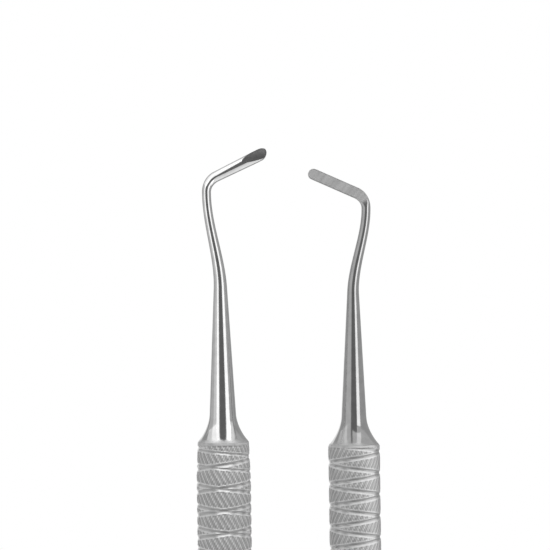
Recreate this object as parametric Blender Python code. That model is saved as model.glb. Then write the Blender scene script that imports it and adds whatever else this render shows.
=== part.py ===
# A matched pair of slim dental elevators, standing upright side by side with their blades at the top.
# Each one is a hooked working end, pressed into a hollow grip handle that an end plug closes at the rear.
# Sizes are in millimetres and are scaled to metres when a mesh is made. +Z is up.
import math

import bmesh
import bpy
from mathutils import Vector
from mathutils.geometry import delaunay_2d_cdt

MM = 0.001

# The pair
AXIS_SPACING = 20.1  # between the two handle axes
FIT_GAP = 0.05  # press fit between pieces, kept open so that they stay separate bodies

# Handle
HANDLE_RADIUS = 3.95  # plain rear of the handle
PAD_RISE = 0.07  # grip pads above the plain rear
COLLAR_STEP = 0.23  # from the plain rear's radius in to where the shank's flare meets the handle
COLLAR_HEIGHT = 0.6  # rounded shoulder between the flare and the grip
WALL = 1.45  # between the plain rear and the bore, which runs through the whole handle
REAR_CHAMFER = 0.25
GRIP_RUNOUT = 0.5  # cone from the grip down to the plain rear

# Crossing grooves of the grip
GROOVE_PITCH = 3.34  # rise of each helix in one turn
GROOVE_TURNS = 9
GROOVE_HALF_WIDTH = 0.4
GROOVE_DEPTH = 0.24
GROOVE_FADE = 0.35  # length over which a groove runs out at the ends of the grip

# End plug
PLUG_HEAD = 2.5  # height of the part that shows behind the handle
PLUG_ROUND = 0.75  # rounding between the side and the standing face
PLUG_SPIGOT = 10.0  # length inside the handle

# Shank and blade
TANG_LENGTH = 12.0  # length inside the handle
LEAD_CHAMFER = 0.4  # on the inner end of the tang and of the plug's spigot
WIRE_RADIUS = 0.7  # round bar between the double bend and the elbow
FLAT_HEIGHT = 0.24  # from the bar's centre to the blade's flat face
BACK_HEIGHT = 0.62  # from the bar's centre to the blade's rounded back
FLAT_SQUARENESS = 7.0  # exponent of the flat side's outline, where 2 is round

# Bevel ground on the blade's back, thinning it to the tip
BEVEL_HEIGHT = 0.2  # from the bar's centre to the bevel, at the blade's end
BEVEL_TILT = 4.0  # degrees along the blade
BEVEL_ROLL = 12.0  # degrees about the blade, so that its upper edge is the thin one
BEVEL_MARGIN = 2.0  # cutter beyond the blade's end and sides

# The two working ends differ a little, as a matched pair does. Lengths follow each other up the shank.
LEFT = {
    "side": -1,
    "turn": 0.0,  # degrees about the handle axis: blade towards +X, flat face towards +Y
    "handle_length": 102.45,
    "crossing_angle": -90.0,  # direction in which the grooves cross, in degrees from +X
    "crossing_drop": 4.0,  # from the handle's top down to one crossing there
    "flare_height": 4.1,
    "taper_length": 19.3,
    "root_radius": 2.035,  # at the top of the flare
    "neck_radius": 1.04,  # at the start of the double bend
    "bend_rise": 14.5,
    "bend_offset": 1.9,  # sideways step of the double bend, away from the blade
    "wire_run": 0.23,  # straight bar between the double bend and the elbow
    "elbow_radius": 2.7,
    "blade_lift": 25.4,  # degrees above the level
    "blade_length": 8.6,  # from the end of the elbow to the tip
    "blade_root_width": 1.5,
    "blade_tip_width": 1.84,
}
RIGHT = {
    "side": 1,
    "turn": 180.0,
    "handle_length": 101.65,
    "crossing_angle": 0.0,
    "crossing_drop": 1.23,
    "flare_height": 4.2,
    "taper_length": 18.9,
    "root_radius": 1.92,
    "neck_radius": 0.92,
    "bend_rise": 13.2,
    "bend_offset": 2.08,
    "wire_run": 0.05,
    "elbow_radius": 2.6,
    "blade_lift": 24.4,
    "blade_length": 8.1,
    "blade_root_width": 1.62,
    "blade_tip_width": 1.68,
}

# Mesh density
TURNED_SEGMENTS = 32
BAR_SEGMENTS = 28
SHOULDER_STEPS = 4
PLUG_STEPS = 5
FLARE_RINGS = 9
BEND_RINGS = 11
ELBOW_RINGS = 9
BLADE_RINGS = 6
TIP_RINGS = 6
TIP_SWEEP = 82.0  # degrees of the tip's rounding before it is capped
WELD = 0.002

# Sizes that follow from the ones above
GRIP_RADIUS = HANDLE_RADIUS + PAD_RISE
COLLAR_RADIUS = HANDLE_RADIUS - COLLAR_STEP
BORE_RADIUS = HANDLE_RADIUS - WALL
TANG_RADIUS = BORE_RADIUS - FIT_GAP
HANDLE_REAR = PLUG_HEAD + FIT_GAP


def clear_scene():
    for old in list(bpy.data.objects):
        bpy.data.objects.remove(old, do_unlink=True)


def steel(name, colour, roughness):
    material = bpy.data.materials.new(name)
    material.use_nodes = True
    shader = material.node_tree.nodes["Principled BSDF"]
    shader.inputs["Base Color"].default_value = (*colour, 1.0)
    shader.inputs["Metallic"].default_value = 1.0
    shader.inputs["Roughness"].default_value = roughness
    return material


def mix(start, end, share):
    return start + (end - start) * share


def smoothstep(share):
    return share * share * (3.0 - 2.0 * share)


def axis_place(spec, height=0.0):
    return (spec["side"] * AXIS_SPACING / 2.0, 0.0, height)


def add_object(name, points, faces, material, location, turn=0.0, sharp=35.0):
    """One closed body from points in millimetres, shaded smooth except at its sharp edges."""
    work = bmesh.new()
    corners = [work.verts.new(Vector(point) * MM) for point in points]
    for face in faces:
        work.faces.new([corners[index] for index in face])
    bmesh.ops.remove_doubles(work, verts=work.verts[:], dist=WELD * MM)
    bmesh.ops.dissolve_degenerate(work, edges=work.edges[:], dist=WELD * MM)
    bmesh.ops.recalc_face_normals(work, faces=work.faces[:])
    mesh = bpy.data.meshes.new(name)
    work.to_mesh(mesh)
    work.free()
    mesh.shade_smooth()
    mesh.set_sharp_from_angle(angle=math.radians(sharp))
    mesh.materials.append(material)
    part = bpy.data.objects.new(name, mesh)
    part.location = Vector(location) * MM
    part.rotation_euler = (0.0, 0.0, math.radians(turn))
    bpy.context.scene.collection.objects.link(part)
    return part


def strips(rings, segments):
    """Quads between rings of points that follow each other in one list."""
    faces = []
    for row in range(rings - 1):
        low = row * segments
        high = low + segments
        for step in range(segments):
            after = (step + 1) % segments
            faces.append((low + step, low + after, high + after, high + step))
    return faces


def end_caps(count, segments):
    return [tuple(range(segments)), tuple(range(count - segments, count))]


def turned_points(profile):
    """Rings of points about Z from (radius, height) pairs."""
    points = []
    for radius, height in profile:
        for step in range(TURNED_SEGMENTS):
            angle = math.tau * step / TURNED_SEGMENTS
            points.append((radius * math.cos(angle), radius * math.sin(angle), height))
    return points


def quarter_round(radius, height, width, rise, steps):
    """Outline of a rounded shoulder that starts flat at (radius, height) and ends upright."""
    outline = []
    for step in range(steps + 1):
        angle = math.pi / 2.0 * step / steps
        outline.append((radius + width * math.sin(angle), height + rise * (1.0 - math.cos(angle))))
    return outline


def groove_lines(drop, phase, length):
    """Both helices on the unrolled grip, as (turn share, depth below the grip's top) point lists."""
    lines = []
    extra_turns = range(-2, int(length / GROOVE_PITCH) + 3)
    for hand in (1.0, -1.0):
        for turn in extra_turns:
            for offset in (-GROOVE_HALF_WIDTH, 0.0, GROOVE_HALF_WIDTH):
                line = []
                for step in range(TURNED_SEGMENTS + 1):
                    share = step / TURNED_SEGMENTS
                    depth = drop + GROOVE_PITCH * (turn + hand * (share - phase)) + offset
                    line.append((share, min(max(depth, 0.0), length)))
                if any(0.0 < depth < length for share, depth in line):
                    lines.append(line)
    return lines


def groove_cut(share, depth, drop, phase, length):
    """How far the surface lies below the pads at one place of the unrolled grip."""
    cut = 0.0
    for hand in (1.0, -1.0):
        turns = (depth - drop) / GROOVE_PITCH - hand * (share - phase)
        distance = abs(turns - round(turns)) * GROOVE_PITCH
        cut = max(cut, 1.0 - distance / GROOVE_HALF_WIDTH)
    fade = min(depth, length - depth) / GROOVE_FADE
    return GROOVE_DEPTH * cut * min(max(fade, 0.0), 1.0)


def grip_surface(spec, grip_top, length):
    """The grooved grip: its groove lines are triangulated on the flat and rolled round the handle."""
    drop = spec["crossing_drop"] - COLLAR_HEIGHT
    phase = spec["crossing_angle"] / 360.0
    girth = math.tau * GRIP_RADIUS
    flat = []
    edges = []

    def add_line(line):
        start = len(flat)
        flat.extend(Vector((share * girth, depth)) for share, depth in line)
        edges.extend((start + step, start + step + 1) for step in range(len(line) - 1))

    rim = [step / TURNED_SEGMENTS for step in range(TURNED_SEGMENTS + 1)]
    add_line([(share, 0.0) for share in rim])
    add_line([(share, length) for share in rim])
    add_line([(0.0, 0.0), (0.0, length)])
    add_line([(1.0, 0.0), (1.0, length)])
    for line in groove_lines(drop, phase, length):
        add_line(line)
    sheet, _, faces, *_ = delaunay_2d_cdt(flat, edges, [], 0, WELD)
    points = []
    for place in sheet:
        share = place.x / girth
        radius = GRIP_RADIUS - groove_cut(share, place.y, drop, phase, length)
        angle = math.tau * share
        points.append((radius * math.cos(angle), radius * math.sin(angle), grip_top - place.y))
    return points, [tuple(face) for face in faces]


def make_handle(name, spec, material):
    """Hollow tube with a rounded shoulder, a grooved grip and a plain rear."""
    top = HANDLE_REAR + spec["handle_length"]
    grip_top = top - COLLAR_HEIGHT
    grip_length = GROOVE_PITCH * GROOVE_TURNS
    grip_end = grip_top - grip_length
    profile = [
        (GRIP_RADIUS, grip_end),
        (HANDLE_RADIUS, grip_end - GRIP_RUNOUT),
        (HANDLE_RADIUS, HANDLE_REAR + REAR_CHAMFER),
        (HANDLE_RADIUS - REAR_CHAMFER, HANDLE_REAR),
        (BORE_RADIUS, HANDLE_REAR),
        (BORE_RADIUS, top),
    ]
    shoulder_width = GRIP_RADIUS - COLLAR_RADIUS
    profile += quarter_round(COLLAR_RADIUS, top, shoulder_width, -COLLAR_HEIGHT, SHOULDER_STEPS)
    points = turned_points(profile)
    faces = strips(len(profile), TURNED_SEGMENTS)
    grip_points, grip_faces = grip_surface(spec, grip_top, grip_length)
    first = len(points)
    points += grip_points
    faces += [tuple(first + index for index in face) for face in grip_faces]
    return add_object(name, points, faces, material, axis_place(spec), sharp=30.0)


def make_plug(name, spec, material):
    """Rear closure: a spigot in the handle's bore and a rounded head with a flat face to stand on."""
    spigot_end = PLUG_HEAD + PLUG_SPIGOT
    profile = quarter_round(HANDLE_RADIUS - PLUG_ROUND, 0.0, PLUG_ROUND, PLUG_ROUND, PLUG_STEPS)
    profile += [
        (HANDLE_RADIUS, PLUG_HEAD - REAR_CHAMFER),
        (HANDLE_RADIUS - REAR_CHAMFER, PLUG_HEAD),
        (TANG_RADIUS, PLUG_HEAD),
        (TANG_RADIUS, spigot_end - LEAD_CHAMFER),
        (TANG_RADIUS - LEAD_CHAMFER, spigot_end),
    ]
    points = turned_points(profile)
    faces = strips(len(profile), TURNED_SEGMENTS)
    faces += end_caps(len(points), TURNED_SEGMENTS)
    return add_object(name, points, faces, material, axis_place(spec))


def rounded_power(value, exponent):
    return math.copysign(abs(value) ** (2.0 / exponent), value)


def bar_section(half_width, flat, back, squareness):
    """Outline across the bar: the flat side is positive in depth and the rounded back is negative."""
    outline = []
    for step in range(BAR_SEGMENTS):
        angle = math.tau * step / BAR_SEGMENTS
        on_flat = math.sin(angle) >= 0.0
        power = squareness if on_flat else 2.0
        reach = flat if on_flat else back
        across = half_width * rounded_power(math.cos(angle), power)
        outline.append((across, reach * rounded_power(math.sin(angle), power)))
    return outline


def round_section(radius):
    return bar_section(radius, radius, radius, 2.0)


def place_section(outline, centre, heading):
    """Puts an outline square to the bar's centre line, whose heading is measured from upright."""
    points = []
    for across, depth in outline:
        points.append((
            centre[0] + across * math.cos(heading),
            depth,
            centre[1] - across * math.sin(heading),
        ))
    return points


def shank_radius(spec, height):
    """Long taper of the shank, with the flare that spreads to the handle's collar below it."""
    slope = (spec["root_radius"] - spec["neck_radius"]) / spec["taper_length"]
    radius = spec["root_radius"] + slope * (spec["flare_height"] - height)
    if height < spec["flare_height"]:
        spread = COLLAR_RADIUS - spec["root_radius"] - slope * spec["flare_height"]
        radius += spread * (1.0 - height / spec["flare_height"]) ** 2
    return radius


def straight_rings(spec):
    """Tang, flare and taper, all round and on the handle's axis."""
    rings = [
        (TANG_RADIUS - LEAD_CHAMFER, -TANG_LENGTH),
        (TANG_RADIUS, LEAD_CHAMFER - TANG_LENGTH),
        (TANG_RADIUS, 0.0),
    ]
    for step in range(FLARE_RINGS):
        height = spec["flare_height"] * step / (FLARE_RINGS - 1)
        rings.append((shank_radius(spec, height), height))
    middle = spec["flare_height"] + spec["taper_length"] / 2.0
    rings.append((shank_radius(spec, middle), middle))
    return [place_section(round_section(radius), (0.0, height), 0.0) for radius, height in rings]


def bend_rings(spec):
    """Double bend that steps the bar away from the blade while it thins to a wire."""
    start = spec["flare_height"] + spec["taper_length"]
    rings = []
    for step in range(BEND_RINGS):
        share = step / (BEND_RINGS - 1)
        radius = mix(WIRE_RADIUS, spec["neck_radius"], (1.0 - share) ** 2)
        slope = -spec["bend_offset"] * 6.0 * share * (1.0 - share) / spec["bend_rise"]
        centre = (-spec["bend_offset"] * smoothstep(share), start + spec["bend_rise"] * share)
        rings.append(place_section(round_section(radius), centre, math.atan(slope)))
    return rings


def blade_heading(spec):
    return math.radians(90.0 - spec["blade_lift"])


def elbow_centre(spec, heading):
    """Point of the elbow's arc where the bar has turned by this heading."""
    start = spec["flare_height"] + spec["taper_length"] + spec["bend_rise"] + spec["wire_run"]
    sideways = spec["elbow_radius"] * (1.0 - math.cos(heading)) - spec["bend_offset"]
    return (sideways, start + spec["elbow_radius"] * math.sin(heading))


def elbow_rings(spec):
    """Hook: the bar turns to the blade's direction while the flat face grows out of the round."""
    rings = []
    for step in range(1, ELBOW_RINGS + 1):
        share = step / ELBOW_RINGS
        grown = smoothstep(share)
        outline = bar_section(
            mix(WIRE_RADIUS, spec["blade_root_width"] / 2.0, grown),
            mix(WIRE_RADIUS, FLAT_HEIGHT, grown),
            mix(WIRE_RADIUS, BACK_HEIGHT, grown),
            mix(2.0, FLAT_SQUARENESS, grown),
        )
        heading = blade_heading(spec) * share
        rings.append(place_section(outline, elbow_centre(spec, heading), heading))
    return rings


def blade_point(spec, reach):
    """Point on the blade's centre line at this distance from the end of the elbow."""
    heading = blade_heading(spec)
    root = elbow_centre(spec, heading)
    return (root[0] + reach * math.sin(heading), root[1] + reach * math.cos(heading))


def blade_rings(spec):
    """Straight half-round blade with a rounded end."""
    end_round = spec["blade_tip_width"] / 2.0
    shoulder = spec["blade_length"] - end_round
    run = [(shoulder * step / BLADE_RINGS, 1.0) for step in range(1, BLADE_RINGS + 1)]
    for step in range(1, TIP_RINGS + 1):
        angle = math.radians(TIP_SWEEP) * step / TIP_RINGS
        run.append((shoulder + end_round * math.sin(angle), math.cos(angle)))
    rings = []
    for reach, narrowing in run:
        share = reach / spec["blade_length"]
        width = mix(spec["blade_root_width"], spec["blade_tip_width"], share) * narrowing
        outline = bar_section(width / 2.0, FLAT_HEIGHT, BACK_HEIGHT, FLAT_SQUARENESS)
        rings.append(place_section(outline, blade_point(spec, reach), blade_heading(spec)))
    return rings


def bevel_cutter(name, spec, working_end):
    """Wedge behind the blade whose top is the bevel's plane, set in the working end's own frame."""
    half_width = spec["blade_tip_width"] / 2.0 + BEVEL_MARGIN
    below = -(BACK_HEIGHT + BEVEL_MARGIN)
    points = []
    for reach in (0.0, spec["blade_length"] + BEVEL_MARGIN):
        to_tip = spec["blade_length"] - reach
        outline = []
        for across in (-half_width, half_width):
            tilt = to_tip * math.tan(math.radians(BEVEL_TILT))
            roll = across * math.tan(math.radians(BEVEL_ROLL))
            outline.append((across, -(BEVEL_HEIGHT + tilt + roll)))
        outline += [(half_width, below), (-half_width, below)]
        points += place_section(outline, blade_point(spec, reach), blade_heading(spec))
    faces = strips(2, 4) + end_caps(8, 4)
    place = working_end.location / MM
    cutter = add_object(name, points, faces, working_end.active_material, place, spec["turn"])
    cutter.hide_render = True
    cutter.display_type = "WIRE"
    return cutter


def make_working_end(name, spec, material):
    """Tang, flare, shank, hook and blade in one forged piece, with the bevel ground on its back."""
    rings = straight_rings(spec) + bend_rings(spec) + elbow_rings(spec) + blade_rings(spec)
    points = [point for ring in rings for point in ring]
    faces = strips(len(rings), BAR_SEGMENTS)
    faces += end_caps(len(points), BAR_SEGMENTS)
    seat = axis_place(spec, HANDLE_REAR + spec["handle_length"] + FIT_GAP)
    working_end = add_object(name, points, faces, material, seat, spec["turn"], sharp=40.0)
    bevel = working_end.modifiers.new("back_bevel", "BOOLEAN")
    bevel.operation = "DIFFERENCE"
    bevel.solver = "EXACT"
    bevel.object = bevel_cutter(name + "_bevel", spec, working_end)
    return working_end


def build_pair():
    for side, spec in (("left", LEFT), ("right", RIGHT)):
        polished = steel(side + "_polished_steel", (0.62, 0.62, 0.62), 0.16)
        satin = steel(side + "_satin_steel", (0.50, 0.50, 0.50), 0.42)
        turned = steel(side + "_turned_steel", (0.55, 0.55, 0.55), 0.30)
        make_working_end(side + "_working_end", spec, polished)
        make_handle(side + "_handle", spec, satin)
        make_plug(side + "_end_plug", spec, turned)


clear_scene()
build_pair()
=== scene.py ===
import math

import bmesh
import bpy
import numpy as np
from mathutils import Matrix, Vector


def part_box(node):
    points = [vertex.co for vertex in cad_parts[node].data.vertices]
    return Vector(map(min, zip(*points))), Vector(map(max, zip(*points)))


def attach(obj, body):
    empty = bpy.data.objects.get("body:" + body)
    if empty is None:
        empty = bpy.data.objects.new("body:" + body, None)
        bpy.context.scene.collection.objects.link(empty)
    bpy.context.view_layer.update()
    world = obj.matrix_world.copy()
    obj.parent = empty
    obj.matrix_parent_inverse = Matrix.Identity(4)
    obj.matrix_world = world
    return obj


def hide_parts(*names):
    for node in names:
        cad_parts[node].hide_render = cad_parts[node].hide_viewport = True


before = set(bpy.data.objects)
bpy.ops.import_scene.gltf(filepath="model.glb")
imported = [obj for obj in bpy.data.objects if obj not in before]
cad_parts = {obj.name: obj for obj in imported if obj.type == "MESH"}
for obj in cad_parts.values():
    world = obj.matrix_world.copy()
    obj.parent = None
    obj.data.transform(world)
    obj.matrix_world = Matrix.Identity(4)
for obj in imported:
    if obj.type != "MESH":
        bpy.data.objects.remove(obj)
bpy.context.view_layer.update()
mm = 0.001
scene = bpy.context.scene
scene.view_settings.view_transform = "Standard"
sides = ("left", "right")
receivers = {}  # what each group of lamps lights: one working end, or one handle with its plug
plugBox = {side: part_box(side + "_end_plug") for side in sides}
handleBox = {side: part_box(side + "_handle") for side in sides}
axisX = {side: (low.x + high.x) / 2.0 for side, (low, high) in plugBox.items()}
topZ = {side: high.z for side, (low, high) in handleBox.items()}
print("frame loaded:", len(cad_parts), "nodes")


# small helpers

def mix(start, end, share):
    return start + (end - start) * share


def ease(share):
    return share * share * (3.0 - 2.0 * share)


def easeSlope(share):
    return 6.0 * share * (1.0 - share)


def addPiece(name, mesh, node, litAs):
    piece = bpy.data.objects.get(name) or bpy.data.objects.new(name, mesh)
    if piece.name not in scene.collection.objects:
        scene.collection.objects.link(piece)
    if litAs not in receivers:
        receivers[litAs] = bpy.data.collections.new(litAs + "Receivers")
    receivers[litAs].objects.link(piece)
    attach(piece, "root")
    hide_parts(node)
    return piece


def stripFaces(rings, around):
    faces = []
    for row in range(rings - 1):
        for step in range(around):
            after = (step + 1) % around
            low = row * around
            high = low + around
            faces.append((low + step, low + after, high + after, high + step))
    return faces


def turnedPoints(profile, around, side):
    # rings about the handle's axis, from radii and heights in millimetres
    angles = np.arange(around) * math.tau / around
    rings = []
    for radius, height in profile:
        ring = [radius * np.cos(angles), radius * np.sin(angles), np.full(around, height)]
        rings.append(np.stack(ring, axis=1))
    points = np.concatenate(rings) * mm
    points[:, 0] += axisX[side]
    return points


# node helpers, for materials and for geometry trees alike
noiseRange = (0.3, 0.7)  # nearly all of a noise lies between these


def feed(tree, value, socket):
    if isinstance(value, bpy.types.NodeSocket):
        tree.links.new(value, socket)
    else:
        socket.default_value = value


def calc(tree, operation, *values):
    node = tree.nodes.new("ShaderNodeMath")
    node.operation = operation
    for socket, value in zip(node.inputs, values):
        feed(tree, value, socket)
    return node.outputs[0]


def ramp(tree, value, low, high, start=0.0, end=1.0):
    node = tree.nodes.new("ShaderNodeMapRange")
    node.interpolation_type = "SMOOTHSTEP"
    amounts = {"Value": value, "From Min": low, "From Max": high, "To Min": start, "To Max": end}
    for name, amount in amounts.items():
        feed(tree, amount, node.inputs[name])
    return node.outputs["Result"]


def varied(tree, value, middle, spread, limits=noiseRange):
    return ramp(tree, value, *limits, middle - spread, middle + spread)


def between(tree, here, there, share):
    return calc(tree, "MULTIPLY_ADD", share, calc(tree, "SUBTRACT", there, here), here)


def fromAxis(tree, x, y):
    squares = [calc(tree, "MULTIPLY", part, part) for part in (x, y)]
    return calc(tree, "SQRT", calc(tree, "ADD", *squares))


def noise(tree, vector, scale, detail=2.0):
    node = tree.nodes.new("ShaderNodeTexNoise")
    node.inputs["Scale"].default_value = scale
    node.inputs["Detail"].default_value = detail
    tree.links.new(vector, node.inputs["Vector"])
    return node.outputs["Fac"]


def stretched(tree, vector, scale, turn=(0.0, 0.0, 0.0), place=(0.0, 0.0, 0.0)):
    node = tree.nodes.new("ShaderNodeMapping")
    node.inputs["Scale"].default_value = scale
    node.inputs["Rotation"].default_value = turn
    node.inputs["Location"].default_value = place
    tree.links.new(vector, node.inputs["Vector"])
    return node.outputs[0]


def attribute(tree, name):
    node = tree.nodes.new("ShaderNodeAttribute")
    node.attribute_name = name
    return node.outputs["Fac"]


def greyColour(tree, value):
    node = tree.nodes.new("ShaderNodeCombineColor")
    for socket in node.inputs:
        tree.links.new(value, socket)
    return node.outputs[0]


def bump(tree, height, distance, strength, below=None):
    node = tree.nodes.new("ShaderNodeBump")
    node.inputs["Distance"].default_value = distance
    feed(tree, strength, node.inputs["Strength"])
    tree.links.new(height, node.inputs["Height"])
    if below:
        tree.links.new(below, node.inputs["Normal"])
    return node.outputs[0]


def metal(name):
    material = bpy.data.materials.new(name)
    material.use_nodes = True
    tree = material.node_tree
    shader = tree.nodes["Principled BSDF"]
    shader.inputs["Metallic"].default_value = 1.0
    objectPlace = tree.nodes.new("ShaderNodeTexCoord").outputs["Object"]
    return material, tree, shader, objectPlace


# polished steel of the working ends, with the blade's face and bevel left as they were ground; the face's
# grey is painted paler as painted light, and the bevel's grey painted darker as painted shade
polish = {
    "grey": 0.60,
    "greySpread": 0.03,
    "blotchScale": 900.0,
    "roughness": 0.085,
    "streakRoughness": 0.07,
    "streakScale": (26.0, 0.10, 1.0),  # in a turn round the bar, and in a millimetre along it
    "streakDetail": 5.0,
    "scratchDepth": 0.0006 * mm,
    "scratchStrength": 0.5,
    # painted light: the ground face's grey is paler than the bar's, standing in for light it doesn't get
    "groundPaintedLightGrey": 0.86,
    "groundGreySpread": 0.05,
    "groundGreyRange": (0.25, 0.75),
    "groundRoughness": 0.58,
    "groundRoughnessSpread": 0.05,
    "groundSkew": -15.0,  # degrees that the grinding lines lean from straight across the blade
    "groundLineScale": (1900.0, 400.0, 260.0),  # in a metre along, through and across the blade
    "groundLineDetail": 3.0,
    "groundLineDepth": 0.003 * mm,
    # painted shade: the bevel's grey is far darker than the bar's, standing in for the dark reflection it
    # shows
    "bevelPaintedShadeGrey": 0.28,
    "bevelRoughness": 0.3,
    "bevelMapStart": 2.0,  # the bar's own map ends at 1, and the bevel lies beyond it
    "bevelMapUnit": 100.0,  # millimetres of bevel to one unit of the map
    "seamStart": 11.8,  # the polish comes in between these, in millimetres from the tang's end
    "seamEnd": 12.5,
    "seamRoughness": 0.32,
}


def polishedSteel(side, heading):
    material, tree, shader, place = metal(side + "PolishedSteel")
    barMap = tree.nodes.new("ShaderNodeUVMap")
    barMap.uv_map = "barMap"
    alongBar = stretched(tree, barMap.outputs[0], polish["streakScale"])
    streaks = noise(tree, alongBar, 1.0, polish["streakDetail"])
    ground = attribute(tree, "ground")
    lineTurn = math.pi / 2.0 - heading + math.radians(polish["groundSkew"])
    alongBlade = stretched(tree, place, (1.0, 1.0, 1.0), (0.0, lineTurn, 0.0))
    alongBlade = stretched(tree, alongBlade, polish["groundLineScale"])
    lines = noise(tree, alongBlade, 1.0, polish["groundLineDetail"])
    blotch = noise(tree, place, polish["blotchScale"])
    split = tree.nodes.new("ShaderNodeSeparateXYZ")
    tree.links.new(barMap.outputs[0], split.inputs[0])
    bevel = calc(tree, "GREATER_THAN", split.outputs["X"], polish["bevelMapStart"] - 0.5)
    plainGreyWithBevelShade = varied(tree, blotch, polish["grey"], polish["greySpread"])
    # painted shade: the bevel's darker grey is put in here
    plainGreyWithBevelShade = calc(tree, "MULTIPLY_ADD", bevel, polish["bevelPaintedShadeGrey"] - polish["grey"], plainGreyWithBevelShade)
    groundSpread = polish["groundGreySpread"]
    # painted light: the ground face gets its paler grey here
    groundPaintedLightGrey = varied(tree, lines, polish["groundPaintedLightGrey"], groundSpread, polish["groundGreyRange"])
    grey = between(tree, plainGreyWithBevelShade, groundPaintedLightGrey, ground)
    tree.links.new(greyColour(tree, grey), shader.inputs["Base Color"])
    smoothest = polish["roughness"]
    shine = ramp(tree, streaks, *noiseRange, smoothest, smoothest + polish["streakRoughness"])
    dull = varied(tree, lines, polish["groundRoughness"], polish["groundRoughnessSpread"])
    along = split.outputs["Y"]
    seam = ramp(tree, along, polish["seamStart"], polish["seamEnd"], polish["seamRoughness"], 0.0)
    shine = calc(tree, "ADD", shine, seam)  # the polish dies away towards the handle
    shine = calc(tree, "MULTIPLY_ADD", bevel, polish["bevelRoughness"] - smoothest, shine)
    roughness = between(tree, shine, dull, ground)
    tree.links.new(roughness, shader.inputs["Roughness"])
    fine = bump(tree, streaks, polish["scratchDepth"], polish["scratchStrength"])
    tree.links.new(bump(tree, lines, polish["groundLineDepth"], ground, fine), shader.inputs["Normal"])
    return material


# working ends: tang, flare, shank, double bend, elbow and blade, in millimetres as the solids are
shank = {
    "around": 112,
    "tangRadius": 2.45,
    "tangLength": 12.0,
    "leadChamfer": 0.4,
    "collarRadius": 3.72,
    "seam": 0.01,  # open line that shows between flare and handle
    "wireRadius": 0.7,
    "flatHeight": 0.24,
    "backHeight": 0.55,
    "flatSquareness": 7.0,
    "backSquareness": 1.7,  # under 2, so the blade has a soft ridge along its back
    "bevelHeight": -0.06,
    "bevelTilt": 8.9,
    "bevelRoll": 15.0,
    "flareRings": 40,
    "taperRings": 30,
    "bendRings": 70,
    "elbowRings": 50,
    "bladeRings": 40,
    "tipRings": 26,
    "tipSweep": 88.0,
    "tipTurnRun": 3.0,
    "rimPower": 8.0,  # rounding of the tip's thickness
    "groundStart": 0.1,  # shares of the elbow between which the ground face comes in
    "groundFull": 0.5,
    "groundFrom": 0.86,  # share of the flat's height where its ground finish starts
    "groundFade": 0.12,
    "sharpAngle": 50.0,
}
shankShape = {
    "left": {
        "turn": 0.0,
        "lean": -0.3,
        "seatDrop": 0.25,  # the flare meets the handle this far below the solid handle's top
        "flareHeight": 4.1,
        "taperLength": 19.3,
        "rootRadius": 2.035,
        "neckRadius": 1.04,
        "bendRise": 14.5,
        "bendOffset": 1.86,
        "wireRun": 0.23,
        "elbowRadius": 2.7,
        "bladeLift": 25.4,
        "bladeLength": 8.65,
        "bladeRootWidth": 1.64,
        "bladeTipWidth": 1.92,
        "tipTurn": 18.0,  # degrees that the tip is turned, fuller at its upper corner
    },
    "right": {
        "turn": 180.0,
        "lean": 0.42,
        "seatDrop": 0.1,
        "flareHeight": 4.2,
        "taperLength": 18.9,
        "rootRadius": 1.92,
        "neckRadius": 0.92,
        "bendRise": 13.03,
        "bendOffset": 2.08,
        "wireRun": 0.05,
        "elbowRadius": 2.6,
        "bladeLift": 24.4,
        "bladeLength": 8.0,
        "bladeRootWidth": 1.72,
        "bladeTipWidth": 1.72,
        "tipTurn": 0.0,
    },
}


oval = 2.0  # squareness of a plain round or oval section


def barRadius(shape, height):
    slope = (shape["rootRadius"] - shape["neckRadius"]) / shape["taperLength"]
    radius = shape["rootRadius"] + slope * (shape["flareHeight"] - height)
    if height < shape["flareHeight"]:
        spread = shank["collarRadius"] - shape["rootRadius"] - slope * shape["flareHeight"]
        radius += spread * (1.0 - height / shape["flareHeight"]) ** 2
    return radius


def roundStation(x, z, heading, radius):
    return (x, z, heading, radius, radius, radius, oval, 0.0)


def straightStations(shape):
    tang = shank["tangRadius"]
    stations = [
        roundStation(0.0, -shank["tangLength"], 0.0, tang - shank["leadChamfer"]),
        roundStation(0.0, shank["leadChamfer"] - shank["tangLength"], 0.0, tang),
        roundStation(0.0, -shape["seatDrop"], 0.0, tang),
    ]
    for step in range(shank["flareRings"]):
        height = mix(-shape["seatDrop"], shape["flareHeight"], step / shank["flareRings"])
        stations.append(roundStation(0.0, height, 0.0, barRadius(shape, height)))
    for step in range(shank["taperRings"]):
        height = shape["flareHeight"] + shape["taperLength"] * step / shank["taperRings"]
        stations.append(roundStation(0.0, height, 0.0, barRadius(shape, height)))
    return stations


def bendStations(shape):
    start = shape["flareHeight"] + shape["taperLength"]
    stations = []
    for step in range(shank["bendRings"] + 1):
        share = step / shank["bendRings"]
        radius = mix(shank["wireRadius"], shape["neckRadius"], (1.0 - share) ** 2)
        slope = -shape["bendOffset"] * easeSlope(share) / shape["bendRise"]
        height = start + shape["bendRise"] * share
        stations.append(roundStation(-shape["bendOffset"] * ease(share), height, math.atan(slope), radius))
    return stations


def bladeHeading(shape):
    return math.radians(90.0 - shape["bladeLift"])


def elbowPoint(shape, heading):
    start = shape["flareHeight"] + shape["taperLength"] + shape["bendRise"] + shape["wireRun"]
    sideways = shape["elbowRadius"] * (1.0 - math.cos(heading)) - shape["bendOffset"]
    return sideways, start + shape["elbowRadius"] * math.sin(heading)


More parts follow.
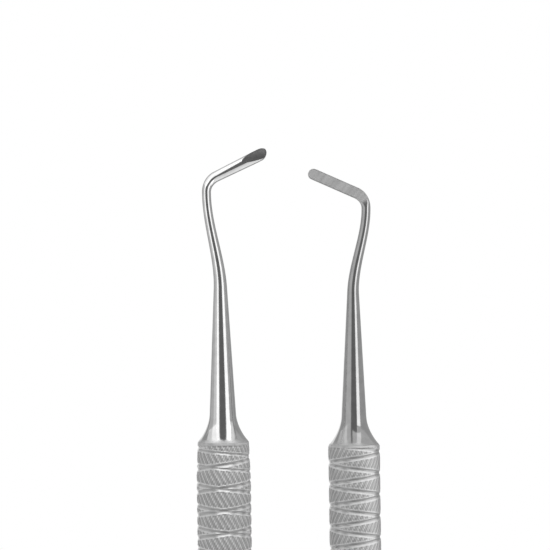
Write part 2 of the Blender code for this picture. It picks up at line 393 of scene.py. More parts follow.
def elbowStations(shape):
    stations = []
    for step in range(1, shank["elbowRings"] + 1):
        share = step / shank["elbowRings"]
        grown = ease(share)
        heading = bladeHeading(shape) * share
        groundShare = (share - shank["groundStart"]) / (shank["groundFull"] - shank["groundStart"])
        stations.append((
            *elbowPoint(shape, heading),
            heading,
            mix(shank["wireRadius"], shape["bladeRootWidth"] / 2.0, grown),
            mix(shank["wireRadius"], shank["flatHeight"], grown),
            mix(shank["wireRadius"], shank["backHeight"], grown),
            mix(oval, shank["flatSquareness"], grown),
            ease(min(1.0, max(0.0, groundShare))),
        ))
    return stations


def bladePoint(shape, reach):
    heading = bladeHeading(shape)
    rootX, rootZ = elbowPoint(shape, heading)
    return rootX + reach * math.sin(heading), rootZ + reach * math.cos(heading)


def bladeStations(shape):
    endRound = shape["bladeTipWidth"] / 2.0
    shoulder = shape["bladeLength"] - endRound
    run = [(shoulder * step / shank["bladeRings"], 1.0, 1.0) for step in range(1, shank["bladeRings"] + 1)]
    for step in range(1, shank["tipRings"] + 1):
        sweep = math.radians(shank["tipSweep"]) * step / shank["tipRings"]
        rim = (1.0 - math.sin(sweep) ** shank["rimPower"]) ** (1.0 / shank["rimPower"])
        run.append((shoulder + endRound * math.sin(sweep), math.cos(sweep), rim))
    stations = []
    for reach, narrowing, rim in run:
        width = mix(shape["bladeRootWidth"], shape["bladeTipWidth"], reach / shape["bladeLength"])
        turned = ease(max(0.0, 1.0 - (shape["bladeLength"] - reach) / shank["tipTurnRun"]))
        stations.append((
            *bladePoint(shape, reach),
            bladeHeading(shape) + math.radians(shape["tipTurn"]) * turned,
            width * narrowing / 2.0,
            shank["flatHeight"] * rim,
            shank["backHeight"] * rim,
            shank["flatSquareness"],
            1.0,
        ))
    return stations


def sectionPoints(station):
    x, z, heading, halfWidth, flat, back, squareness, groundShare = station
    angles = np.arange(shank["around"]) * math.tau / shank["around"]
    cosine = np.cos(angles)
    sine = np.sin(angles)
    onFlat = sine >= 0.0
    gable = (squareness - oval) / (shank["flatSquareness"] - oval)
    power = 2.0 / np.where(onFlat, squareness, mix(oval, shank["backSquareness"], gable))
    across = halfWidth * np.sign(cosine) * np.abs(cosine) ** power
    depthShare = np.sign(sine) * np.abs(sine) ** power
    depth = depthShare * np.where(onFlat, flat, back)
    points = np.stack([x + across * math.cos(heading), depth, z - across * math.sin(heading)], axis=1)
    ground = groundShare * np.clip((depthShare - shank["groundFrom"]) / shank["groundFade"], 0.0, 1.0)
    return points, ground


def cutBevel(work, shape):
    # ground flat on the blade's back, thinnest along its upper edge
    heading = bladeHeading(shape)
    along = Vector((math.sin(heading), 0.0, math.cos(heading)))
    across = Vector((math.cos(heading), 0.0, -math.sin(heading)))
    tipX, tipZ = bladePoint(shape, shape["bladeLength"])
    tilt = math.tan(math.radians(shank["bevelTilt"]))
    roll = math.tan(math.radians(shank["bevelRoll"]))
    outward = along * tilt - across * roll - Vector((0.0, 1.0, 0.0))
    everything = work.verts[:] + work.edges[:] + work.faces[:]
    cut = bmesh.ops.bisect_plane(
        work,
        geom=everything,
        plane_co=(tipX, -shank["bevelHeight"], tipZ),
        plane_no=outward.normalized(),
        clear_outer=True,
    )
    rim = [item for item in cut["geom_cut"] if isinstance(item, bmesh.types.BMEdge)]
    facets = bmesh.ops.edgeloop_fill(work, edges=rim)["faces"]
    mapLayer = work.loops.layers.uv["barMap"]
    for facet in facets:
        for edge in facet.edges:
            edge.smooth = False
        for loop in facet.loops:
            turnShare = polish["bevelMapStart"] + loop.vert.co.x / polish["bevelMapUnit"]
            loop[mapLayer].uv = (turnShare, loop.vert.co.z)


def makeShank(side):
    shape = shankShape[side]
    stations = straightStations(shape) + bendStations(shape) + elbowStations(shape) + bladeStations(shape)
    around = shank["around"]
    work = bmesh.new()
    groundLayer = work.verts.layers.float.new("ground")
    mapLayer = work.loops.layers.uv.new("barMap")
    travel = [0.0]
    for before, after in zip(stations, stations[1:]):
        travel.append(travel[-1] + math.dist(before[:2], after[:2]))
    corners = []
    for station in stations:
        points, ground = sectionPoints(station)
        for point, share in zip(points, ground):
            corner = work.verts.new(point)
            corner[groundLayer] = share
            corners.append(corner)
    for indices in stripFaces(len(stations), around):
        face = work.faces.new([corners[index] for index in indices])
        face.smooth = True
        lastStep = indices[0] % around == around - 1
        for loop, index in zip(face.loops, indices):
            turnShare = index % around / around
            if lastStep and index % around == 0:
                turnShare = 1.0
            loop[mapLayer].uv = (turnShare, travel[index // around])
    work.faces.new(corners[:around])
    work.faces.new(corners[-around:])
    cutBevel(work, shape)
    bmesh.ops.recalc_face_normals(work, faces=work.faces[:])
    turn = math.radians(shape["turn"])
    lean = math.tan(math.radians(shape["lean"]))  # each stands a little askew in its handle
    for corner in work.verts:
        x, y, z = corner.co * mm
        corner.co = (
            axisX[side] + x * math.cos(turn) - y * math.sin(turn) + max(z, 0.0) * lean,
            x * math.sin(turn) + y * math.cos(turn),
            topZ[side] + shank["seam"] * mm + z,
        )
    sharpAngle = math.radians(shank["sharpAngle"])
    for edge in work.edges:
        if len(edge.link_faces) == 2 and edge.calc_face_angle() > sharpAngle:
            edge.smooth = False
    mesh = bpy.data.meshes.new(side + "Shank")
    work.to_mesh(mesh)
    work.free()
    heading = bladeHeading(shape) if side == "left" else -bladeHeading(shape)
    mesh.materials.append(polishedSteel(side, heading))
    return addPiece(side + "Shank", mesh, side + "_working_end", side + "Shank")


for side in sides:
    made = makeShank(side)
    print("working end:", made.name, len(made.data.polygons), "faces")


# satin steel of the handles: blasted, with smooth grooves; the knurl's crests are less rough, and are
# painted paler as a painted highlight while its valleys are painted darker as painted shade
satin = {
    # painted highlight and painted shade: the knurl's crests are given a paler grey and its valleys a
    # darker one
    "crestPaintedHighlightGrey": 0.86,
    "valleyPaintedShadeGrey": 0.45,
    "grooveGrey": 0.5,
    "crestRoughness": 0.34,
    "valleyRoughness": 0.50,
    "grooveRoughness": 0.27,
    "crestRange": (0.25, 0.95),  # of the crest attribute, for the grey
    "grainRoughness": 0.04,
    "blastScale": 17000.0,
    "blastDetail": 3.0,
    "blastDepth": 0.006 * mm,
    "blastStrength": 0.35,
    "blotchScale": 1300.0,
    "blotchSpread": 0.05,
}


def satinSteel(side):
    material, tree, shader, place = metal(side + "SatinSteel")
    crest = attribute(tree, "crest")
    groove = attribute(tree, "groove")
    blast = noise(tree, place, satin["blastScale"], satin["blastDetail"])
    blotch = varied(tree, noise(tree, place, satin["blotchScale"]), 1.0, satin["blotchSpread"])
    # painted knurl shading: paler grey on crests, darker grey in valleys
    padGreyWithPaintedShade = ramp(tree, crest, *satin["crestRange"], satin["valleyPaintedShadeGrey"], satin["crestPaintedHighlightGrey"])
    padGreyWithPaintedShade = calc(tree, "MULTIPLY", padGreyWithPaintedShade, blotch)
    grey = between(tree, padGreyWithPaintedShade, satin["grooveGrey"], groove)
    tree.links.new(greyColour(tree, grey), shader.inputs["Base Color"])
    padRoughness = ramp(tree, crest, 0.0, 1.0, satin["valleyRoughness"], satin["crestRoughness"])
    grain = varied(tree, blast, 0.0, satin["grainRoughness"])
    roughness = calc(tree, "ADD", between(tree, padRoughness, satin["grooveRoughness"], groove), grain)
    tree.links.new(roughness, shader.inputs["Roughness"])
    tree.links.new(bump(tree, blast, satin["blastDepth"], satin["blastStrength"]), shader.inputs["Normal"])
    return material


# handles: hollow tubes whose grip is cut by a geometry tree, in millimetres
grip = {
    "boreRadius": 2.5,
    "plainRadius": 3.95,
    "padRadius": 4.02,
    "lip": 0.06,  # drop of the knurl's first rings, and the length over which it comes up
    "lipRun": 0.4,
    "collarRings": 3,
    "collarRound": 1.6,
    "rearChamfer": 0.25,
    "runout": 0.5,
    "length": 30.06,
    "knurlLean": 30.0,  # degrees between the knurl's lines and the axis
    "cellSteps": 12,  # mesh steps from one coarse line to the next
    "sharpAngle": 42.0,
}
gripShape = {
    "left": {
        "pitch": 3.40,  # rise of each groove in one turn
        "drift": 10.5,  # degrees that a crossing moves on from one turn to the next
        "crossingAngle": -99.5,  # one crossing, in degrees round
        "crossingDrop": 7.18,  # and below the solid handle's top
        "swell": 0.2,
        "collarHeight": 0.65,  # from the solid handle's top to the knurl
        "grooveFade": 0.4,  # length over which the grooves run out at the ends
        "knurlCount": 29,  # coarse knurl lines round the handle
        "knurlHand": 1.0,
        "knurlDepth": 0.065,
        "knurlPaintedShadeAndFinish": 1.0,  # how strongly the ridges are painted paler and the valleys darker, as painted knurl shading; it also sets how much smoother the ridges are
        "runIn": 1.35,  # how far the first turn of one groove is held down by the collar
    },
    "right": {
        "pitch": 3.29,
        "drift": 0.0,
        "crossingAngle": 0.0,
        "crossingDrop": 1.23,
        "swell": -0.03,
        "collarHeight": 0.4,
        "grooveFade": 0.3,
        "knurlCount": 31,
        "knurlHand": -1.0,
        "knurlDepth": 0.05,
        "knurlPaintedShadeAndFinish": 0.75,
        "runIn": 0.0,
    },
}
gripCut = {
    "Groove half width": 0.45 * mm,
    "Groove depth": 0.17 * mm,
    "Pad round": 0.5 * mm,
    "Pad sink": 0.035 * mm,
    "Knurl start": 0.8,  # share of the groove's half width, and the run from there to full depth
    "Knurl edge": 0.12 * mm,
    "Ridge power": 0.7,
    "End fade": 0.08 * mm,
    "Swell run": 6.0 * mm,
    "Run in length": 4.5 * mm,
    "Plain crest": 0.54,  # finish of the smooth parts, between that of valleys and of ridges
}


def knurlRise(side):
    spacing = math.tau * grip["padRadius"] / gripShape[side]["knurlCount"]
    return spacing / math.tan(math.radians(grip["knurlLean"]))


def gripSettings(side):
    shape = gripShape[side]
    return {
        "Axis": axisX[side],
        "Grip top": topZ[side] - shape["collarHeight"] * mm,
        "Grip length": grip["length"] * mm,
        "Inner radius": mix(grip["boreRadius"], grip["plainRadius"], 0.5) * mm,
        "Groove pitch": shape["pitch"] * mm,
        "Groove drift": shape["drift"] / 360.0,
        "Groove fade": shape["grooveFade"] * mm,
        "Crossing drop": (shape["crossingDrop"] - shape["collarHeight"]) * mm,
        "Crossing turn": shape["crossingAngle"] / 360.0,
        "Knurl count": float(shape["knurlCount"]),
        "Knurl rise": knurlRise(side) * mm,
        "Knurl hand": shape["knurlHand"],
        "Knurl depth": shape["knurlDepth"] * mm,
        "Knurl painted shade and finish": shape["knurlPaintedShadeAndFinish"],
        "Run in": shape["runIn"] * mm,
        "Swell": shape["swell"] * mm,
        **gripCut,
    }


def groovedGripTree(inputNames):
    tree = bpy.data.node_groups.new("groovedGrip", "GeometryNodeTree")
    tree.interface.new_socket("Geometry", in_out="INPUT", socket_type="NodeSocketGeometry")
    tree.interface.new_socket("Geometry", in_out="OUTPUT", socket_type="NodeSocketGeometry")
    for name in inputNames:
        tree.interface.new_socket(name, in_out="INPUT", socket_type="NodeSocketFloat")
    tree.interface.new_socket("Steel", in_out="INPUT", socket_type="NodeSocketMaterial")
    entry = tree.nodes.new("NodeGroupInput").outputs
    place = tree.nodes.new("ShaderNodeSeparateXYZ")
    tree.links.new(tree.nodes.new("GeometryNodeInputPosition").outputs[0], place.inputs[0])
    x = calc(tree, "SUBTRACT", place.outputs["X"], entry["Axis"])
    y = place.outputs["Y"]
    angle = calc(tree, "ARCTAN2", y, x)
    turn = calc(tree, "DIVIDE", angle, math.tau)
    below = calc(tree, "SUBTRACT", entry["Grip top"], place.outputs["Z"])
    # distance to the nearest groove of either hand
    fromCrossing = calc(tree, "SUBTRACT", below, entry["Crossing drop"])
    rise = calc(tree, "DIVIDE", fromCrossing, entry["Groove pitch"])
    drifted = calc(tree, "MULTIPLY_ADD", rise, entry["Groove drift"], entry["Crossing turn"])
    along = calc(tree, "SUBTRACT", turn, drifted)
    distances = []
    heldDown = ramp(tree, below, 0.0, entry["Run in length"], entry["Run in"], 0.0)
    heldRise = calc(tree, "SUBTRACT", rise, calc(tree, "DIVIDE", heldDown, entry["Groove pitch"]))
    for hand, start in (("SUBTRACT", heldRise), ("ADD", rise)):
        share = calc(tree, "FRACT", calc(tree, "ADD", calc(tree, hand, start, along), 0.5))
        offset = calc(tree, "ABSOLUTE", calc(tree, "SUBTRACT", share, 0.5))
        distances.append(calc(tree, "MULTIPLY", offset, entry["Groove pitch"]))
    distance = calc(tree, "MINIMUM", *distances)
    # only the outside of the grip is cut, and it runs out at both ends
    fromEnd = calc(tree, "MINIMUM", below, calc(tree, "SUBTRACT", entry["Grip length"], below))
    outside = calc(tree, "GREATER_THAN", fromAxis(tree, x, y), entry["Inner radius"])
    fade = calc(tree, "MULTIPLY", ramp(tree, fromEnd, 0.0, entry["End fade"]), outside)
    faint = calc(tree, "MULTIPLY", ramp(tree, fromEnd, 0.0, entry["Groove fade"]), outside)
    halfWidth = entry["Groove half width"]
    groove = calc(tree, "MULTIPLY", ramp(tree, distance, 0.0, halfWidth, 1.0, 0.0), faint)
    padEdge = calc(tree, "ADD", halfWidth, entry["Pad round"])
    sink = calc(tree, "MULTIPLY", ramp(tree, distance, halfWidth, padEdge, 1.0, 0.0), faint)
    # a coarse family of leaning ridges, crossed by one of the other hand that is twice as fine
    column = calc(tree, "MULTIPLY", turn, entry["Knurl count"])
    row = calc(tree, "MULTIPLY", calc(tree, "DIVIDE", below, entry["Knurl rise"]), entry["Knurl hand"])
    coarse = calc(tree, "SUBTRACT", column, row)
    fine = calc(tree, "MULTIPLY", calc(tree, "ADD", column, row), 2.0)
    knurlStart = calc(tree, "MULTIPLY", halfWidth, entry["Knurl start"])
    knurlFull = calc(tree, "ADD", knurlStart, entry["Knurl edge"])
    smooth = calc(tree, "MULTIPLY", ramp(tree, distance, knurlStart, knurlFull, 1.0, 0.0), faint)
    knurled = calc(tree, "MULTIPLY", calc(tree, "SUBTRACT", 1.0, smooth), fade)
    valleys = []
    for family in (coarse, fine):
        wave = calc(tree, "MULTIPLY_ADD", calc(tree, "FRACT", family), 2.0, -1.0)
        fromRidge = calc(tree, "POWER", calc(tree, "ABSOLUTE", wave), entry["Ridge power"])
        valleys.append(calc(tree, "MULTIPLY", fromRidge, knurled))
    bothValleys = calc(tree, "ADD", *valleys)
    swollen = calc(tree, "MULTIPLY", ramp(tree, fromEnd, 0.0, entry["Swell run"]), outside)
    push = calc(tree, "MULTIPLY", entry["Swell"], swollen)
    cuts = {"Groove depth": groove, "Pad sink": sink, "Knurl depth": bothValleys}
    for depth, amount in cuts.items():
        push = calc(tree, "SUBTRACT", push, calc(tree, "MULTIPLY", entry[depth], amount))
    offset = tree.nodes.new("ShaderNodeCombineXYZ")
    tree.links.new(calc(tree, "MULTIPLY", push, calc(tree, "COSINE", angle)), offset.inputs["X"])
    tree.links.new(calc(tree, "MULTIPLY", push, calc(tree, "SINE", angle)), offset.inputs["Y"])
    # the finish reads these two: the crest paints the knurl's shading into the grey, and sets its
    # roughness
    geometry = entry["Geometry"]
    aboveMiddle = calc(tree, "MULTIPLY_ADD", bothValleys, -0.5, 0.5)
    toned = calc(tree, "MULTIPLY_ADD", aboveMiddle, entry["Knurl painted shade and finish"], 0.5)
    crest = between(tree, entry["Plain crest"], toned, fade)
    for name, value in (("crest", crest), ("groove", groove)):
        store = tree.nodes.new("GeometryNodeStoreNamedAttribute")
        store.data_type = "FLOAT"
        store.domain = "POINT"
        store.inputs["Name"].default_value = name
        tree.links.new(geometry, store.inputs["Geometry"])
        tree.links.new(value, store.inputs["Value"])
        geometry = store.outputs["Geometry"]
    move = tree.nodes.new("GeometryNodeSetPosition")
    tree.links.new(geometry, move.inputs["Geometry"])
    tree.links.new(offset.outputs[0], move.inputs["Offset"])
    realize = tree.nodes.new("GeometryNodeRealizeInstances")
    tree.links.new(move.outputs[0], realize.inputs[0])
    dress = tree.nodes.new("GeometryNodeSetMaterial")
    tree.links.new(realize.outputs[0], dress.inputs["Geometry"])
    tree.links.new(entry["Steel"], dress.inputs["Material"])
    tree.links.new(dress.outputs[0], tree.nodes.new("NodeGroupOutput").inputs[0])
    return tree


def tubeProfile(side):
    drop = shankShape[side]["seatDrop"]
    top = topZ[side] / mm - drop
    rear = handleBox[side][0].z / mm
    gripTop = topZ[side] / mm - gripShape[side]["collarHeight"]
    seatRadius = barRadius(shankShape[side], -drop)
    length = grip["length"]
    step = knurlRise(side) / grip["cellSteps"]
    profile = [(grip["boreRadius"], rear), (grip["boreRadius"], top)]
    for index in range(grip["collarRings"]):
        share = index / grip["collarRings"]
        spread = 1.0 - (1.0 - share) ** grip["collarRound"]
        radius = mix(seatRadius, grip["padRadius"] - grip["lip"], spread)
        profile.append((radius, mix(top, gripTop, share)))
    first = len(profile)
    rings = int(length / step) + 1
    for index in range(rings):
        lip = grip["lip"] * max(0.0, 1.0 - step * index / grip["lipRun"])
        profile.append((grip["padRadius"] - lip, gripTop - step * index))
    end = gripTop - length
    profile += [
        (grip["padRadius"], end),
        (grip["plainRadius"], end - grip["runout"]),
        (grip["plainRadius"], rear + grip["rearChamfer"]),
        (grip["plainRadius"] - grip["rearChamfer"], rear),
        (grip["boreRadius"], rear),
    ]
    return profile, first, rings


def makeHandle(side, tree):
    profile, first, rings = tubeProfile(side)
    around = gripShape[side]["knurlCount"] * grip["cellSteps"]
    points = turnedPoints(profile[:-1], around, side)  # the last ring is the first again
    faces = []
    count = len(points)
    for face in stripFaces(len(profile), around):
        row = face[0] // around - first
        low, lowAfter, highAfter, high = [index % count for index in face]
        if not 0 <= row < rings:
            faces.append((low, high, highAfter, lowAfter))
        elif gripShape[side]["knurlHand"] < 0.0:
            faces += [(low, high, lowAfter), (lowAfter, high, highAfter)]
        else:
            faces += [(low, high, highAfter), (low, highAfter, lowAfter)]
    mesh = bpy.data.meshes.new(side + "Grip")
    mesh.from_pydata(points.tolist(), [], faces)
    blank = bpy.data.objects.new(side + "Grip", mesh)
    scene.collection.objects.link(blank)
    settings = {**gripSettings(side), "Steel": satinSteel(side)}
    cutter = blank.modifiers.new("groovedGrip", "NODES")
    cutter.node_group = tree
    for item in tree.interface.items_tree:
        if item.in_out == "INPUT" and item.name in settings:
            cutter[item.identifier] = settings[item.name]
    depsgraph = bpy.context.evaluated_depsgraph_get()
    finished = bpy.data.meshes.new_from_object(
        blank.evaluated_get(depsgraph), preserve_all_data_layers=True, depsgraph=depsgraph
    )
    blank.modifiers.clear()
    blank.data = finished
    finished.name = side + "Grip"
    finished.shade_smooth()
    finished.set_sharp_from_angle(angle=math.radians(grip["sharpAngle"]))
    return addPiece(side + "Grip", finished, side + "_handle", side + "Grip")


gripTree = groovedGripTree(gripSettings("left"))
for side in sides:
    made = makeHandle(side, gripTree)
    print("handle:", made.name, len(made.data.polygons), "faces")


# end plugs: turned, with a rounded head and a spigot in the bore
plug = {
    "around": 128,
    "round": 0.75,
    "roundSteps": 14,
    "chamfer": 0.25,
    "head": 2.5,
    "spigotRadius": 2.45,
    "leadChamfer": 0.4,
    "sharpAngle": 30.0,
    "grey": 0.55,
    "greySpread": 0.012,
    "roughnessRange": (0.24, 0.29),
    "smudgeScale": 1500.0,
    "smudgeDetail": 3.0,
    "lineSpacing": 0.07,  # turning lines, in millimetres
    "lineDepth": 0.003 * mm,
    "lineStrength": 0.12,
}


def turnedSteel(side):
    material, tree, shader, place = metal(side + "TurnedSteel")
    centred = stretched(tree, place, (1.0, 1.0, 1.0), place=(-axisX[side], 0.0, 0.0))
    split = tree.nodes.new("ShaderNodeSeparateXYZ")
    tree.links.new(centred, split.inputs[0])
    x, y, z = split.outputs
    travel = calc(tree, "SUBTRACT", fromAxis(tree, x, y), z)  # over the face and up the side alike
    lines = calc(tree, "SINE", calc(tree, "MULTIPLY", travel, math.tau / (plug["lineSpacing"] * mm)))
    smudge = noise(tree, place, plug["smudgeScale"], plug["smudgeDetail"])
    grey = varied(tree, smudge, plug["grey"], plug["greySpread"])
    tree.links.new(greyColour(tree, grey), shader.inputs["Base Color"])
    roughness = ramp(tree, smudge, *noiseRange, *plug["roughnessRange"])
    tree.links.new(roughness, shader.inputs["Roughness"])
    tree.links.new(bump(tree, lines, plug["lineDepth"], plug["lineStrength"]), shader.inputs["Normal"])
    return material


def makePlug(side):
    low, high = plugBox[side]
    radius = (high.x - low.x) / 2.0 / mm
    spigotEnd = high.z / mm
    profile = []
    for step in range(plug["roundSteps"] + 1):
        angle = math.pi / 2.0 * step / plug["roundSteps"]
        rise = plug["round"] * (1.0 - math.cos(angle))
        profile.append((radius - plug["round"] * (1.0 - math.sin(angle)), rise))
    profile += [
        (radius, plug["head"] - plug["chamfer"]),
        (radius - plug["chamfer"], plug["head"]),
        (plug["spigotRadius"], plug["head"]),
        (plug["spigotRadius"], spigotEnd - plug["leadChamfer"]),
        (plug["spigotRadius"] - plug["leadChamfer"], spigotEnd),
    ]
    around = plug["around"]
    points = turnedPoints(profile, around, side)
    faces = stripFaces(len(profile), around)
    faces.append(tuple(range(around))[::-1])
    faces.append(tuple(range(len(points) - around, len(points))))
    mesh = bpy.data.meshes.new(side + "Plug")
    mesh.from_pydata(points.tolist(), [], faces)
    mesh.shade_smooth()
    mesh.set_sharp_from_angle(angle=math.radians(plug["sharpAngle"]))
    mesh.materials.append(turnedSteel(side))
    return addPiece(side + "Plug", mesh, side + "_end_plug", side + "Grip")


for side in sides:
    made = makePlug(side)
    print("end plug:", made.name, len(made.data.polygons), "faces")


# studio: white surroundings, a pale floor, grey and dark cards, and tall soft strips of light
studio = {
    "aim": Vector((0.0, 0.0, 0.115)),
    "cardRadius": 0.62,
    "cardStep": 4.0,  # degrees
    "lampDistance": 0.5,
    "floorRadius": 0.24,
    "floorAround": 96,
    "floorDrop": 0.2 * mm,
    "floorClear": 0.09,  # radius inside which the floor keeps the shadow whole
    "floorFaded": 0.228,  # radius at which it is plain white
    "floorGrey": 0.9,
    "worldForFloor": 1.1,
}
cards = {  # from and to in degrees round from the camera, then in degrees up, and level
    "darkSlot": (-25.0, 25.0, -25.0, 73.0, 0.17),
    "lowSlot": (-25.0, 25.0, -73.0, -25.0, 0.3),
    "greyRight": (25.0, 172.0, -24.0, 30.0, 0.42),
    "greyLeft": (-146.0, -25.0, -18.0, 73.0, 0.42),
    "highRight": (25.0, 172.0, 30.0, 73.0, 0.55),
    "lowRight": (25.0, 172.0, -75.0, -24.0, 0.45),
    "lowLeft": (-146.0, -25.0, -75.0, -18.0, 0.45),
}
strips = {  # what is lit, then as for the cards
    "leftHot": ("leftShank", -54.0, -30.0, -18.0, 70.0, 0.8),
    "leftWide": ("leftShank", -84.0, -30.0, -18.0, 70.0, 0.45),
    "leftHigh": ("leftShank", -112.0, -55.0, 28.0, 73.0, 0.55),
    "leftEdge": ("leftShank", -125.0, -84.0, -18.0, 28.0, 0.2),
    "leftRight": ("leftShank", 30.0, 63.0, -25.0, 70.0, 1.25),
    "leftRightHigh": ("leftShank", 45.0, 88.0, 20.0, 73.0, 0.5),
    "leftRightEdge": ("leftShank", 63.0, 110.0, -25.0, 20.0, 0.12),
    "rightLeft": ("rightShank", -80.0, -30.0, -73.0, 73.0, 0.18),
    "rightRight": ("rightShank", 28.0, 58.0, -73.0, 27.0, 0.95),
    "rightOver": ("rightShank", -45.0, 90.0, 46.0, 76.0, 0.4),
    "rightHigh": ("rightShank", -120.0, -60.0, 25.0, 73.0, 0.25),
    "leftGripOver": ("leftGrip", -70.0, 70.0, 25.0, 73.0, 1.1),
    "leftGripFront": ("leftGrip", -65.0, 65.0, -20.0, 25.0, 0.5),
    "leftGripLeft": ("leftGrip", -130.0, -60.0, -30.0, 50.0, 0.22),
    "leftGripRight": ("leftGrip", 60.0, 130.0, -30.0, 50.0, 0.5),
    "rightGripOver": ("rightGrip", -60.0, 75.0, 25.0, 73.0, 0.68),
    "rightGripFront": ("rightGrip", -60.0, 60.0, -20.0, 25.0, 0.5),
    "rightGripLeft": ("rightGrip", -130.0, -60.0, -30.0, 50.0, 0.35),
    "rightGripSide": ("rightGrip", 40.0, 120.0, -30.0, 50.0, 0.6),
}
bladeLamps = {  # millimetres from the left blade's root, turn about x, width, height and level
    "bladeOver": ((-8.9, -20.0, 17.3), 90.0, 11.0, 25.6, 1.5),
    "bladeUnder": ((15.6, -23.7, -15.5), 180.0, 28.0, 44.5, 0.75),
}


def bearing(degrees):
    angle = math.radians(degrees)
    return Vector((math.sin(angle), -math.cos(angle), 0.0))


def glow(name, level):
    material = bpy.data.materials.new(name)
    material.use_nodes = True
    tree = material.node_tree
    tree.nodes.clear()
    light = tree.nodes.new("ShaderNodeEmission")
    light.inputs["Color"].default_value = (level, level, level, 1.0)
    tree.links.new(light.outputs[0], tree.nodes.new("ShaderNodeOutputMaterial").inputs["Surface"])
    material.cycles.emission_sampling = "NONE"
    return material


def heightAt(degrees, distance):
    return distance * math.tan(math.radians(degrees))


def standCard(name, start, end, low, high, level):
    columns = max(2, int((end - start) / studio["cardStep"]))
    radius = studio["cardRadius"]
    points = []
    for column in range(columns + 1):
        base = studio["aim"] + bearing(mix(start, end, column / columns)) * radius
        for lift in (low, high):
            points.append(base + Vector((0.0, 0.0, heightAt(lift, radius))))
    faces = [(2 * step, 2 * step + 2, 2 * step + 3, 2 * step + 1) for step in range(columns)]
    mesh = bpy.data.meshes.new(name)
    mesh.from_pydata(points, [], faces)
    mesh.materials.append(glow(name, level))
    card = bpy.data.objects.new(name, mesh)
    scene.collection.objects.link(card)
    card.visible_camera = False
    card.visible_diffuse = False
    card.visible_transmission = False
    card.visible_shadow = False


def softLamp(name, lit, width, height, level):
    lamp = bpy.data.lights.new(name, "AREA")
    lamp.shape = "RECTANGLE"
    lamp.size = width
    lamp.size_y = height
    lamp.energy = math.pi * lamp.size * lamp.size_y * level
    holder = bpy.data.objects.new(name, lamp)
    holder.visible_camera = False
    holder.light_linking.receiver_collection = receivers[lit]
    scene.collection.objects.link(holder)
    return holder


def hangStrip(name, lit, start, end, low, high, level):
    middle = bearing((start + end) / 2.0)
    distance = studio["lampDistance"]
    bottom = heightAt(low, distance)
    top = heightAt(high, distance)
    width = 2.0 * heightAt((end - start) / 2.0, distance)
    holder = softLamp(name, lit, width, top - bottom, level)
    aside = axisX["left" if lit.startswith("left") else "right"]
    holder.location = studio["aim"] + middle * distance + Vector((aside, 0.0, (top + bottom) / 2.0))
    holder.rotation_euler = (-middle).to_track_quat("-Z", "Y").to_euler()


def hangBladeLamp(name, place, turn, width, height, level):
    # close by, so that the rest of the shank doesn't reflect it
    shape = shankShape["left"]
    x, z = elbowPoint(shape, bladeHeading(shape))
    root = Vector((axisX["left"] + x * mm, 0.0, topZ["left"] + z * mm))
    holder = softLamp(name, "leftShank", width * mm, height * mm, level)
    holder.location = root + Vector(place) * mm
    holder.rotation_euler = (math.radians(turn), 0.0, 0.0)


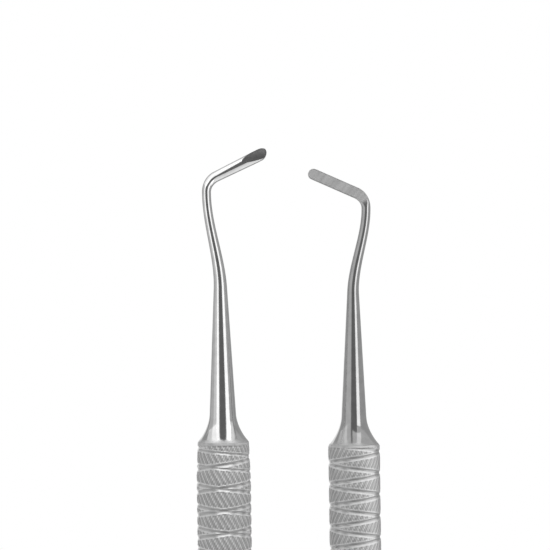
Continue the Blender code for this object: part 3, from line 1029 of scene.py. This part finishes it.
def layFloor():
    around = studio["floorAround"]
    radius = studio["floorRadius"]
    points = [(0.0, 0.0, 0.0)]
    for step in range(around):
        angle = math.tau * step / around
        points.append((radius * math.cos(angle), radius * math.sin(angle), 0.0))
    faces = [(0, step + 1, (step + 1) % around + 1) for step in range(around)]
    mesh = bpy.data.meshes.new("floor")
    mesh.from_pydata(points, [], faces)
    material = bpy.data.materials.new("paleFloor")
    material.use_nodes = True
    tree = material.node_tree
    tree.nodes.clear()
    matte = tree.nodes.new("ShaderNodeBsdfDiffuse")
    matte.inputs["Color"].default_value = (studio["floorGrey"],) * 3 + (1.0,)
    white = tree.nodes.new("ShaderNodeEmission")
    place = tree.nodes.new("ShaderNodeTexCoord").outputs["Object"]
    length = tree.nodes.new("ShaderNodeVectorMath")
    length.operation = "LENGTH"
    tree.links.new(place, length.inputs[0])
    blend = tree.nodes.new("ShaderNodeMixShader")
    fade = ramp(tree, length.outputs["Value"], studio["floorClear"], studio["floorFaded"])
    tree.links.new(fade, blend.inputs["Fac"])
    tree.links.new(matte.outputs[0], blend.inputs[1])
    tree.links.new(white.outputs[0], blend.inputs[2])
    tree.links.new(blend.outputs[0], tree.nodes.new("ShaderNodeOutputMaterial").inputs["Surface"])
    material.cycles.emission_sampling = "NONE"
    mesh.materials.append(material)
    floor = bpy.data.objects.new("floor", mesh)
    floor.location.z = -studio["floorDrop"]
    floor.visible_glossy = False
    scene.collection.objects.link(floor)


def whiteWorld():
    world = bpy.data.worlds.new("whiteStudio")
    scene.world = world
    world.use_nodes = True
    world.cycles.sampling_method = "NONE"
    tree = world.node_tree
    path = tree.nodes.new("ShaderNodeLightPath").outputs
    seen = calc(tree, "MAXIMUM", path["Is Camera Ray"], path["Is Glossy Ray"])
    seen = calc(tree, "MAXIMUM", seen, path["Is Transmission Ray"])
    background = tree.nodes["Background"]
    background.inputs["Color"].default_value = (1.0, 1.0, 1.0, 1.0)
    tree.links.new(ramp(tree, seen, 0.0, 1.0, studio["worldForFloor"], 1.0), background.inputs["Strength"])


whiteWorld()
layFloor()
for name, card in cards.items():
    standCard(name, *card)
for name, strip in strips.items():
    hangStrip(name, *strip)
for name, lamp in bladeLamps.items():
    hangBladeLamp(name, *lamp)
print("studio:", len(cards), "cards,", len(strips) + len(bladeLamps), "lamps")


# camera level with the double bends, turned a little so that the pair leans as it was photographed
shot = {
    "x": -1.735 * mm,
    "distance": 0.4,
    "height": 130.3 * mm,
    "roll": 0.8,  # degrees
    "lens": 170.2,
    "sensor": 36.0,
    "clipStart": 0.01,
}
camera = bpy.data.objects.new("camera", bpy.data.cameras.new("camera"))
camera.data.lens = shot["lens"]
camera.data.sensor_width = shot["sensor"]
camera.data.clip_start = shot["clipStart"]
camera.location = (shot["x"], -shot["distance"], shot["height"])
camera.rotation_euler = (math.pi / 2.0, math.radians(shot["roll"]), 0.0)
scene.collection.objects.link(camera)
scene.camera = camera
